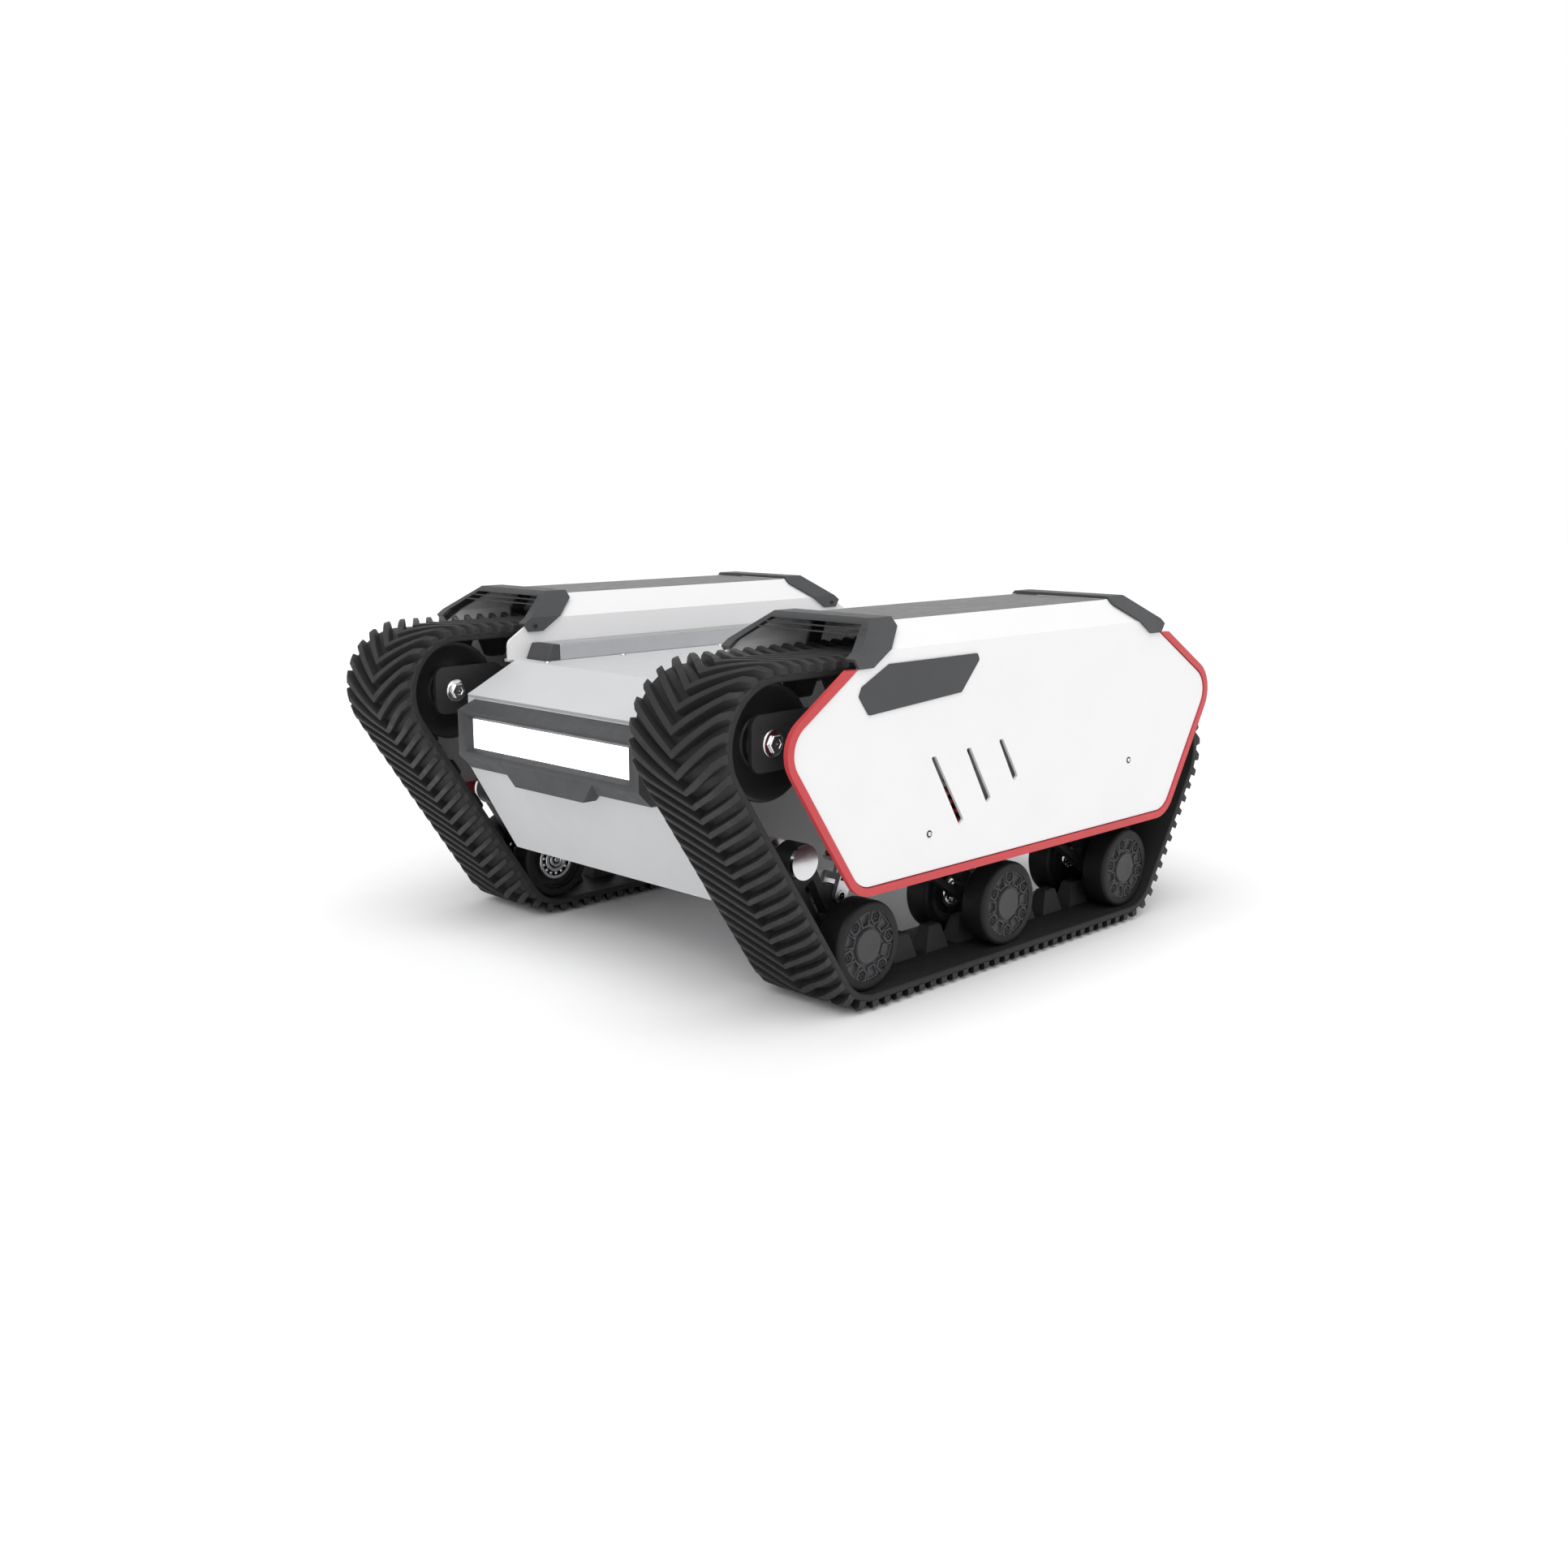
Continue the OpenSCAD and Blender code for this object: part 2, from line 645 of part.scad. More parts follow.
// ---------- suspension ----------
// Swing arm with its wheel axle at the origin and its pivot along X, turned to its unit's rise
module arm(unit) {
  hub = unit[0];
  color([0.3, 0.3, 0.32]) translate([hub[0], track_y, hub[1]]) rotate([0, -unit[1], 0]) difference() {
    union() {
      bar_y([0, 0], 18, -arm_half, arm_half);
      bar_y([arm_len, 0], 23, -13, 13);
      across(-arm_half, arm_half, [[0, -15], [arm_len, -20], [arm_len, 20], [0, 15]]);
      // Ear for the shock absorber
      across(-arm_half, arm_half, [[22, 8], [82, 8], shock_ear + [10, 6], shock_ear - [11, -5]]);
      bar_y(shock_ear, 12.5, -arm_half, arm_half);
    }
    bar_y([0, 0], axle_r + fit, -20, 20);
    bar_y([arm_len, 0], pivot_r + fit, -20, 20);
    bar_y(shock_ear, ear_hole_r, -20, 20);
    across(-20, 20, rounded([[32, -7], [90, -10], [90, 8], [32, 5]], 4, 4));
  }
}

// Road wheel: two rubber-tyred discs on one axle
module road_wheel(c) {
  r = road_r - belt_clear;
  color([0.35, 0.35, 0.36]) {
    for (s = [-1, 1]) turned(c, [
      [0, s * 67], [0, s * disc_in], [24, s * disc_in], [24, s * (disc_in + 8)], [r - 14, s * (disc_in + 8)],
      [r - 10, s * disc_in], [r - 4, s * disc_in], [r, s * (disc_in + 4)], [r, s * (disc_out - 12)],
      [r - 1.5, s * (disc_out - 5)], [r - 5, s * (disc_out - 1)], [47, s * disc_out], [42, s * 67]
    ]);
    bar_y(c, axle_r, track_y - disc_in - 1, track_y + disc_in + 1);
  }
}

// Moves a shape drawn upright at the origin so that it points along the shock absorber
module on_shock(unit) {
  foot = foot_at(unit);
  translate([foot[0], track_y, foot[1]]) rotate([0, -unit[2], 0]) children();
}
seat_low = 45;
seat_high = 126;
module damper(unit) {
  color([0.25, 0.25, 0.27]) on_shock(unit) difference() {
    union() {
      translate([0, 0, 66]) cylinder(r = 14, h = shock_len - 78);
      translate([0, 0, seat_high]) cylinder(r = spring_r + 1, h = 5);
      bar_y([0, shock_len], 14, -11, 11);
    }
    translate([0, 0, 60]) cylinder(r = 6 + fit, h = 64);
    bar_y([0, shock_len], shock_pin_r + fit, -20, 20);
  }
}
module rod(unit) {
  color("silver") on_shock(unit) {
    translate([0, 0, 24]) cylinder(r = 6, h = 60);
    translate([0, 0, seat_low - 5]) cylinder(r = spring_r + 1, h = 5);
    // Fork over the ear of the swing arm
    translate([-11, -fork_out, 17]) cube([22, 2 * fork_out, 10]);
    for (y = [-fork_out, fork_in]) {
      translate([-11, y, 0]) cube([22, fork_out - fork_in, 20]);
      bar_y([0, 0], 11, y, y + fork_out - fork_in);
    }
    bar_y([0, 0], 5, -fork_out - 1, fork_out + 1);
  }
}
module spring(unit) {
  color("firebrick") on_shock(unit) translate([0, 0, seat_low + 0.2]) difference() {
    cylinder(r = spring_r, h = seat_high - seat_low - 0.4);
    translate([0, 0, -1]) cylinder(r = spring_r - 6, h = shock_len);
  }
}

// ---------- inside the hull ----------
module drive_motors() {
  color([0.4, 0.4, 0.42]) both_sides() difference() {
    union() {
      bar_y(sprocket_c, 42, 24, 130);
      bar_y(sprocket_c, 50, 128, hull_half - sheet - 0.5);
      bar_y(sprocket_c, 22, hull_half - sheet - 1, hull_half + 6);
    }
    bar_y(sprocket_c, shaft_r + fit, 150, hull_half + 10);
  }
}
// Battery pack with two straps, and the controller board with its drivers
module electronics() {
  base = floor_z + 2 * sheet;
  color([0.2, 0.25, 0.3]) {
    translate([-120, -130, base]) cube([330, 260, 118]);
    for (x = [-60, 130]) translate([x, -50, base + 117]) cube([14, 100, 12]);
  }
  color([0.15, 0.35, 0.25]) {
    translate([-300, -110, base]) cube([150, 220, 14]);
    for (y = [-80, -20, 40]) translate([-290, y, base + 13]) cube([120, 40, 30]);
  }
}

// ---------- buttons on the rear panel ----------
button_face = tail_mid[0] - 10;
module estop_button() {
  color("red") {
    bar_x(95, 278, 12.25, button_face - 6, tail_mid[0] + 12);
    bar_x(95, 278, 19, button_face - 16, button_face - 5);
  }
}
module power_button() {
  color("silver") bar_x(20, 278, 9.25, tail_mid[0] - 10, tail_mid[0] + 8);
}

// ---------- fasteners ----------
// A flanged hexagon head that stands on the face at y and points along +Y
module hex_head(c, y, size, h) {
  translate([c[0], y, c[1]]) rotate([-90, 0, 0]) {
    cylinder(r = size * 0.8, h = 3);
    translate([0, 0, 2]) cylinder(r = size / sqrt(3) + 0.01, h = h - 2, $fn = 6);
  }
}
module button_head(c, y, r) {
  translate([c[0], y, c[1]]) rotate([-90, 0, 0]) difference() {
    cylinder(r = r, h = 2.4);
    translate([0, 0, 1]) cylinder(r = r * 0.45, h = 2, $fn = 6);
  }
}
module fasteners() {
  color("silver") {
    both_sides() {
      hex_head(idler_c, track_y + arm_out, 20, 8);
      translate([0, 2 * (track_y - arm_out), 0]) mirror([0, 1, 0])
        hex_head(idler_c, track_y - arm_out, 20, 8);
      for (p = panel_screws) button_head(p, track_y + pod_half, 4.6);
      // Screws through the inner tips of the pod caps
      for (x = [301, -309]) translate([0, 2 * (track_y - pod_half - cap_t), 0]) mirror([0, 1, 0])
        button_head([x, 439], track_y - pod_half - cap_t, 3);
      // Deck screws
      for (x = [-380, -190, 0, 190, 325]) translate([x, 145, deck_z]) difference() {
        cylinder(r = 4.6, h = 2.2);
        translate([0, 0, 1]) cylinder(r = 2, h = 2, $fn = 6);
      }
    }
  }
}

hull_tub();
front_plate();
rear_plate();
hoods();
deck_plate();
front_bumper();
light_lens();
deck_rails();
side_panels();
inner_panels();
top_strips();
panel_rims();
side_badges();
pod_caps();
pod_frames();
track_belt();  // track_left
mirror([0, 1, 0]) track_belt();  // track_right
idler_arms();
pivot_shafts();
drive_motors();
electronics();
fasteners();
estop_button();
power_button();
idler();  // idler_left
mirror([0, 1, 0]) idler();  // idler_right
sprocket();  // sprocket_left
mirror([0, 1, 0]) sprocket();  // sprocket_right
roller();  // roller_left
mirror([0, 1, 0]) roller();  // roller_right
arm(front_unit);  // arm_front_left
arm(mid_unit);  // arm_mid_left
arm(rear_unit);  // arm_rear_left
mirror([0, 1, 0]) arm(front_unit);  // arm_front_right
mirror([0, 1, 0]) arm(mid_unit);  // arm_mid_right
mirror([0, 1, 0]) arm(rear_unit);  // arm_rear_right
road_wheel(front_wheel);  // wheel_front_left
road_wheel(mid_wheel);  // wheel_mid_left
road_wheel(rear_wheel);  // wheel_rear_left
mirror([0, 1, 0]) road_wheel(front_wheel);  // wheel_front_right
mirror([0, 1, 0]) road_wheel(mid_wheel);  // wheel_mid_right
mirror([0, 1, 0]) road_wheel(rear_wheel);  // wheel_rear_right
damper(front_unit);  // damper_front_left
damper(mid_unit);  // damper_mid_left
damper(rear_unit);  // damper_rear_left
mirror([0, 1, 0]) damper(front_unit);  // damper_front_right
mirror([0, 1, 0]) damper(mid_unit);  // damper_mid_right
mirror([0, 1, 0]) damper(rear_unit);  // damper_rear_right
rod(front_unit);  // rod_front_left
rod(mid_unit);  // rod_mid_left
rod(rear_unit);  // rod_rear_left
mirror([0, 1, 0]) rod(front_unit);  // rod_front_right
mirror([0, 1, 0]) rod(mid_unit);  // rod_mid_right
mirror([0, 1, 0]) rod(rear_unit);  // rod_rear_right
spring(front_unit);  // spring_front_left
spring(mid_unit);  // spring_mid_left
spring(rear_unit);  // spring_rear_left
mirror([0, 1, 0]) spring(front_unit);  // spring_front_right
mirror([0, 1, 0]) spring(mid_unit);  // spring_mid_right
mirror([0, 1, 0]) spring(rear_unit);  // spring_rear_right
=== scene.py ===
"""Looks for the tracked robot chassis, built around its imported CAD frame. Lengths here are millimetres."""
import math

import bmesh
import bpy
from mathutils import Matrix, Vector


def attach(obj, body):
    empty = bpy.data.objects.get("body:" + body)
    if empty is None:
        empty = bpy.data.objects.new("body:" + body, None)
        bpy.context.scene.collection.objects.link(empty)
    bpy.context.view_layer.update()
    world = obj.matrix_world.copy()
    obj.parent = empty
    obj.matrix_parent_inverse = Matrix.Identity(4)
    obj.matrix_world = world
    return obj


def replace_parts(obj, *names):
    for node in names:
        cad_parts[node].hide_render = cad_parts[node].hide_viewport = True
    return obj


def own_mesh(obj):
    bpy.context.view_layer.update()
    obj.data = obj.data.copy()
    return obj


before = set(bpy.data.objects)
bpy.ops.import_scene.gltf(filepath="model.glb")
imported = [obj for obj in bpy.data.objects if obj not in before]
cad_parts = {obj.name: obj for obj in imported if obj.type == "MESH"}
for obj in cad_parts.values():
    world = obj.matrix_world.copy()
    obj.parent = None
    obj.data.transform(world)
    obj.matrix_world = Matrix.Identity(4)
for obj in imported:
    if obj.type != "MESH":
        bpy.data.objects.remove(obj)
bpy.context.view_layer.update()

MM = 0.001
SIDES = (("left", 1), ("right", -1))
UNITS = ("front", "mid", "rear")

# ---------- driving sizes, the same values as the part's source ----------
TRACK_Y = 316.5
BELT_W, BELT_T, LUG_H, LUG_PITCH, GUIDE_H = 159, 9, 13, 22, 34
ROAD_R, END_R, ROLLER_R, BELT_GAP = 58, 69, 56, 0.5
WHEEL_Z = LUG_H + BELT_T + ROAD_R
WHEEL_X = {"front": 241, "mid": -39.5, "rear": -320}
IDLER, SPROCKET, ROLLER = (408.5, 353), (-408.5, 241), (-240, 365)
LOOP = [
    ((WHEEL_X["front"], WHEEL_Z), ROAD_R), (IDLER, END_R), (ROLLER, ROLLER_R),
    (SPROCKET, END_R), ((WHEEL_X["rear"], WHEEL_Z), ROAD_R),
]
SHOCK_EAR, SHOCK_LEN = (44, 31), 150
ARM_RISE = {"front": 60, "mid": 35, "rear": 35}
SHOCK_LEAN = {"front": 20, "mid": -5.7, "rear": -5.7}
SPRING_R, SEAT_LOW, SEAT_HIGH = 22, 45, 126
DISC_IN, DISC_OUT = 28.5, 68
POD_HALF, DECK_Z = 107.5, 393
RAIL_X, RAIL_Y, RAIL_H, WEDGE = (-370, 292), (159, 207), 22, 24
IDLER_ARM_OUT = 70


# ---------- materials ----------
def material(name, base, rough, metallic=0.0, mottle=0.12, grain=900, bump=0.15, coat=0.0, wear=0.0, emit=0.0,
             spec=0.5):
    """Principled surface whose colour, roughness and fine relief vary with noise, with worn edges if asked."""
    mat = bpy.data.materials.new(name)
    mat.use_nodes = True
    tree = mat.node_tree
    shader = tree.nodes["Principled BSDF"]
    shader.inputs["Metallic"].default_value = metallic
    shader.inputs["Coat Weight"].default_value = coat
    shader.inputs["Coat Roughness"].default_value = 0.12
    shader.inputs["Specular IOR Level"].default_value = spec
    position = tree.nodes.new("ShaderNodeTexCoord").outputs["Object"]

    def noise(scale, detail=4):
        node = tree.nodes.new("ShaderNodeTexNoise")
        node.inputs["Scale"].default_value = scale
        node.inputs["Detail"].default_value = detail
        tree.links.new(position, node.inputs["Vector"])
        return node.outputs["Fac"]

    def ramp(value, low, high, start=0.3, end=0.7):
        node = tree.nodes.new("ShaderNodeMapRange")
        node.inputs["From Min"].default_value = start
        node.inputs["From Max"].default_value = end
        node.inputs["To Min"].default_value = low
        node.inputs["To Max"].default_value = high
        tree.links.new(value, node.inputs["Value"])
        return node.outputs["Result"]

    def blend(fac, a, b):
        mix = tree.nodes.new("ShaderNodeMix")
        mix.data_type = "RGBA"
        tree.links.new(fac, mix.inputs["Factor"])
        for socket, value in ((mix.inputs["A"], a), (mix.inputs["B"], b)):
            if isinstance(value, tuple):
                socket.default_value = (*value, 1)
            else:
                tree.links.new(value, socket)
        return mix.outputs["Result"]

    broad = noise(9)
    fine = noise(grain, 2)
    dark = tuple(c * (1 - mottle) for c in base)
    light = tuple(min(1, c * (1 + mottle)) for c in base)
    colour = blend(ramp(broad, 0, 1), dark, light)
    if wear:
        edge = tree.nodes.new("ShaderNodeNewGeometry").outputs["Pointiness"]
        rubbed = tuple(min(1, c * 2.2 + 0.05) for c in base)
        colour = blend(ramp(edge, 0, wear, 0.52, 0.6), colour, rubbed)
    tree.links.new(colour, shader.inputs["Base Color"])
    tree.links.new(ramp(noise(60), rough * 0.88, min(1, rough * 1.15)), shader.inputs["Roughness"])
    relief = tree.nodes.new("ShaderNodeBump")
    relief.inputs["Strength"].default_value = bump
    relief.inputs["Distance"].default_value = 0.0004
    tree.links.new(fine, relief.inputs["Height"])
    tree.links.new(relief.outputs["Normal"], shader.inputs["Normal"])
    if emit:
        shader.inputs["Emission Color"].default_value = (1, 1, 1, 1)
        shader.inputs["Emission Strength"].default_value = emit
    return mat


WHITE = material("panel_paint", (0.76, 0.76, 0.765), 0.42, mottle=0.012, grain=1600, bump=0.05,
                 coat=0.1, spec=0.3)
GREY = material("hull_paint", (0.54, 0.545, 0.555), 0.5, mottle=0.02, grain=1800, bump=0.12, spec=0.4)
TRIM = material("dark_trim", (0.042, 0.043, 0.045), 0.5, mottle=0.06, grain=1500, bump=0.2,
                wear=0.2, spec=0.3)
STRIP = material("roof_strip", (0.15, 0.15, 0.153), 0.5, mottle=0.04, grain=1500, bump=0.12, spec=0.4)
BADGE = material("badge_plate", (0.05, 0.051, 0.054), 0.4, mottle=0.04, grain=1500, bump=0.1, spec=0.3)
RED = material("rim_paint", (0.5, 0.052, 0.058), 0.45, mottle=0.03, grain=1500, bump=0.06, coat=0.1, spec=0.3)
RUBBER = material("track_rubber", (0.012, 0.012, 0.0125), 0.55, mottle=0.15, grain=1100, bump=0.35,
                  wear=0.3, spec=0.22)
TYRE = material("tyre_rubber", (0.01, 0.01, 0.011), 0.45, mottle=0.15, grain=1100, bump=0.25, spec=0.2)
CAP = material("hub_plastic", (0.042, 0.043, 0.045), 0.48, mottle=0.05, grain=1300, bump=0.25,
               wear=0.2, spec=0.35)
BLACK = material("black_paint", (0.008, 0.008, 0.0085), 0.42, mottle=0.15, grain=1200, bump=0.25,
                 wear=0.3, spec=0.3)
DISC = material("black_disc", (0.014, 0.014, 0.015), 0.34, mottle=0.1, grain=1400, bump=0.12, spec=0.3)
STEEL = material("bright_steel", (0.72, 0.72, 0.73), 0.16, metallic=1, mottle=0.05, grain=700, bump=0.05)
SATIN = material("satin_alloy", (0.6, 0.605, 0.62), 0.35, metallic=1, mottle=0.03, grain=900, bump=0.12)
MOTOR = material("motor_alloy", (0.1, 0.1, 0.105), 0.5, metallic=0.6, mottle=0.1, grain=900, bump=0.2)
SPRING = material("spring_red", (0.5, 0.02, 0.02), 0.3, mottle=0.08, grain=1200, bump=0.08, coat=0.4)
BUTTON = material("button_red", (0.55, 0.015, 0.015), 0.25, mottle=0.03, grain=1500, bump=0.05, coat=0.5)
BOARD = material("battery_case", (0.03, 0.05, 0.06), 0.5, mottle=0.1, grain=1500, bump=0.2)
LENS = material("light_diffuser", (0.95, 0.96, 1.0), 0.3, mottle=0.01, grain=900, bump=0.05, emit=1.2)


# ---------- mesh helpers ----------
def mesh_from(name, bm, mat, smooth, turn=None):
    """Turns a bmesh in millimetres into a mesh in metres, sharp above the smooth angle."""
    bmesh.ops.recalc_face_normals(bm, faces=bm.faces)
    bmesh.ops.scale(bm, vec=(MM,) * 3, verts=bm.verts)
    if turn is not None:
        bmesh.ops.rotate(bm, matrix=Matrix.Rotation(turn, 3, "Y"), verts=bm.verts)
    mesh = bpy.data.meshes.new(name)
    bm.to_mesh(mesh)
    bm.free()
    mesh.materials.append(mat)
    for poly in mesh.polygons:
        poly.use_smooth = True
    mesh.set_sharp_from_angle(angle=math.radians(smooth))
    return mesh


def piece(name, bm, mat, body, smooth=35.0, bevel=0.0, at=None):
    """Turns a bmesh in millimetres into a piece that rides on a CAD body."""
    return place(name, mesh_from(name, bm, mat, smooth), body, bevel, at)


def place(name, mesh, body, bevel=0.0, at=None):
    """Stands a mesh at a matrix as a piece that rides on a CAD body."""
    obj = bpy.data.objects.new(name, mesh)
    bpy.context.scene.collection.objects.link(obj)
    if at is not None:
        obj.matrix_world = at
    if bevel:
        soften(obj, bevel)
    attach(obj, body)
    return obj


def soften(obj, width, segments=2):
    """Rounds the sharp edges of an object."""
    mod = obj.modifiers.new("edge_radius", "BEVEL")
    mod.width = width * MM
    mod.segments = segments
    mod.limit_method = "ANGLE"
    mod.angle_limit = math.radians(32)
    mod.harden_normals = False


def dress(node, mat, bevel=0.0):
    """Gives a CAD node its finish and small edge radii."""
    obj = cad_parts[node]
    obj.data.materials.clear()
    obj.data.materials.append(mat)
    if bevel:
        soften(obj, bevel)


def solid(bm, rings, closed=False, caps=True):
    """Skins a list of rings of points, each with the same count, into one closed shape."""
    rows = [[bm.verts.new(p) for p in ring] for ring in rings]
    n = len(rows[0])
    pairs = list(zip(rows, rows[1:] + rows[:1])) if closed else list(zip(rows, rows[1:]))
    for a, b in pairs:
        for i in range(n):
            j = (i + 1) % n
            bm.faces.new((a[i], a[j], b[j], b[i]))
    if caps and not closed:
        bm.faces.new(rows[0][::-1])
        bm.faces.new(rows[-1])


def angles(count):
    """Evenly spaced angles round a full turn."""
    return [2 * math.pi * k / count for k in range(count)]


def lathe(bm, profile, segments=96, centre=(0, 0, 0)):
    """Revolves a closed (radius, y) outline about the Y axis through centre."""
    cx, cy, cz = centre
    solid(bm, [[(cx + r * math.cos(a), cy + y, cz + r * math.sin(a)) for r, y in profile]
               for a in angles(segments)], closed=True)


def lathe_z(bm, profile, segments=64):
    """Revolves a closed (radius, z) outline about the Z axis."""
    solid(bm, [[(r * math.cos(a), r * math.sin(a), z) for r, z in profile]
               for a in angles(segments)], closed=True)


def rod_between(bm, a, b, radius, segments=32):
    """A plain round pin from a to b, for use inside a larger piece."""
    a, b = Vector(a), Vector(b)
    turn = (b - a).to_track_quat("Z", "Y").to_matrix()
    ring = [turn @ Vector((radius * math.cos(t), radius * math.sin(t), 0)) for t in angles(segments)]
    solid(bm, [[a + p for p in ring], [b + p for p in ring]])


def prism(bm, outline, direction, depth):
    """Extrudes a list of 3-D points along a direction."""
    step = Vector(direction) * depth
    solid(bm, [[Vector(p) for p in outline], [Vector(p) + step for p in outline]])


# ---------- the belt's path ----------
def run_normal(i):
    """Direction that the straight run after circle i faces outward."""
    (c1, r1), (c2, r2) = LOOP[i % 5], LOOP[(i + 1) % 5]
    gap = (c2[0] - c1[0], c2[1] - c1[1])
    return math.atan2(gap[1], gap[0]) - math.acos((r1 - r2) / math.hypot(*gap))


def run_length(i):
    """Length of the straight run after circle i."""
    (c1, r1), (c2, r2) = LOOP[i % 5], LOOP[(i + 1) % 5]
    return math.sqrt((c2[0] - c1[0]) ** 2 + (c2[1] - c1[1]) ** 2 - (r1 - r2) ** 2)


TURN = [(run_normal(i) - run_normal(i - 1)) % (2 * math.pi) for i in range(5)]
ARC = [(LOOP[i][1] + BELT_T / 2) * TURN[i] for i in range(5)]
STARTS = [0.0]
for circle in range(5):
    STARTS.append(STARTS[-1] + ARC[circle] + run_length(circle))
BELT_LEN = STARTS[-1]


def belt_point(s, h):
    """The point (x, z) at distance s along the belt and h outward from its inner face."""
    s %= BELT_LEN
    i = max(k for k in range(5) if STARTS[k] <= s)
    (cx, cz), r = LOOP[i]
    local = s - STARTS[i]
    if local < ARC[i]:
        a, along = run_normal(i - 1) + TURN[i] * local / ARC[i], 0.0
    else:
        a, along = run_normal(i), local - ARC[i]
    return (cx + (r + h) * math.cos(a) - along * math.sin(a),
            cz + (r + h) * math.sin(a) + along * math.cos(a))


# ---------- tracks ----------
CHEVRON = 46  # how far along the belt a lug's tips lie from its point
LUG_FOOT, LUG_SHOULDER, LUG_FLAT, LUG_ROUND, TIP_DROP = 5.6, 4.3, 3.4, 0.9, 5.5


def track(side, sign):
    """Rubber belt with chevron lugs outside and guide horns inside."""
    bm = bmesh.new()
    half = BELT_W / 2
    lugs = round(BELT_LEN / LUG_PITCH)
    step = BELT_LEN / lugs
    guides = round(BELT_LEN / (3 * LUG_PITCH))
    # band with rounded edges
    section = [(-half, 1.5), (-half + 1.5, 0), (half - 1.5, 0), (half, 1.5),
               (half, BELT_T - 2), (half - 2, BELT_T), (-half + 2, BELT_T), (-half, BELT_T - 2)]
    rings = []
    for k in range(3 * lugs):
        s = k * step / 3
        rings.append([(belt_point(s, h)[0], sign * (TRACK_Y + y), belt_point(s, h)[1]) for y, h in section])
    solid(bm, rings, closed=True)
    # chevron lugs: the point of each V leads down the front run, and the tips fall away at the belt's edges
    outward = [3, 13, 26, 40, 54, half - 11, half]
    stations = [-y for y in reversed(outward)] + [0] + outward
    for k in range(lugs):
        rings = []
        for y in stations:
            s = k * step - CHEVRON * (1 - abs(y) / half)
            top = BELT_T + LUG_H - (TIP_DROP if abs(y) == half else 0)
            flank = [(LUG_FOOT, BELT_T - 1), (LUG_SHOULDER, top - LUG_ROUND), (LUG_FLAT, top)]
            ring = []
            for ds, h in [(-ds, h) for ds, h in flank] + flank[::-1]:
                x, z = belt_point(s + ds, h)
                ring.append((x, sign * (TRACK_Y + y), z))
            rings.append(ring)
        solid(bm, rings)
    # guide horns: frustums that narrow every way
    for k in range(guides):
        s = k * BELT_LEN / guides
        x0, z0 = belt_point(s, 0)
        x1, z1 = belt_point(s, 10)
        out = Vector((x1 - x0, 0, z1 - z0)).normalized()
        along = Vector((-out.z, 0, out.x))
        across = Vector((0, 1, 0))
        base = Vector((x0, sign * TRACK_Y, z0))
        rings = []
        for depth, length, width in ((-3, 23.5, 14), (1, 23, 13.8),
                                     (GUIDE_H - 2, 12.6, 8.6), (GUIDE_H, 10.5, 7)):
            rings.append([base - out * depth + along * length * a + across * width * b
                          for a, b in ((-1, -1), (1, -1), (1, 1), (-1, 1))])
        solid(bm, rings)
    obj = piece(f"belt_{side}", bm, RUBBER, "chassis", smooth=28)
    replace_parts(obj, f"track_{side}")


# ---------- road wheels ----------
CAP_R, CAP_DEPTH, CAP_FACE = 49, 8, DISC_OUT - 0.4
CAP_CENTRE, CAP_GROOVE, CAP_RIM, CAP_RIM_EDGE = 21, 22.5, 45.5, 47.8
SCREW_CIRCLE, BOSS_R, BOSS_POCKET, BOSS_SEAT = 37.5, 9.0, 6.2, 4.2
FRAME_U, FRAME_WALL = (25.5, 43.5), 2.2  # the raised frame's reach from the centre, and its wall
SCREWS = 6


def hub_height(r, angle):
    """Depth of the moulded hub cap below its face, for a radius and an angle from a screw."""
    sector = 2 * math.pi / SCREWS
    if r < CAP_CENTRE:
        return 0.2
    if r < CAP_GROOVE:
        return 1.4
    if r > CAP_RIM:
        return 0.6 if r < CAP_RIM_EDGE else 1.8
    # dished ground between the centre and the rim
    ground = 4.2 - 2.6 * (r - CAP_GROOVE) / (CAP_R - CAP_GROOVE)
    # screw boss: a hexagonal tower with a pocket
    a = (angle + sector / 2) % sector - sector / 2
    hx, hy = r * math.cos(a) - SCREW_CIRCLE, r * math.sin(a)
    across = max(abs(hy), abs(hy) * 0.5 + abs(hx) * 0.866)
    if across < BOSS_POCKET:
        return 3.6 if math.hypot(hx, hy) > BOSS_SEAT else 1.9
    if across < BOSS_R:
        return 0.3
    # raised frame round a trapezoid recess, midway between two screws
    b = (angle % sector) - sector / 2
    u, v = r * math.cos(b), abs(r * math.sin(b))
    edge = 6.5 + (u - 26) * 0.22
    if FRAME_U[0] < u < FRAME_U[1] and v < edge:
        inner = FRAME_U[0] + 2.3 < u < FRAME_U[1] - FRAME_WALL and v < edge - FRAME_WALL
        return ground + 1.6 if inner else 0.9
    return ground


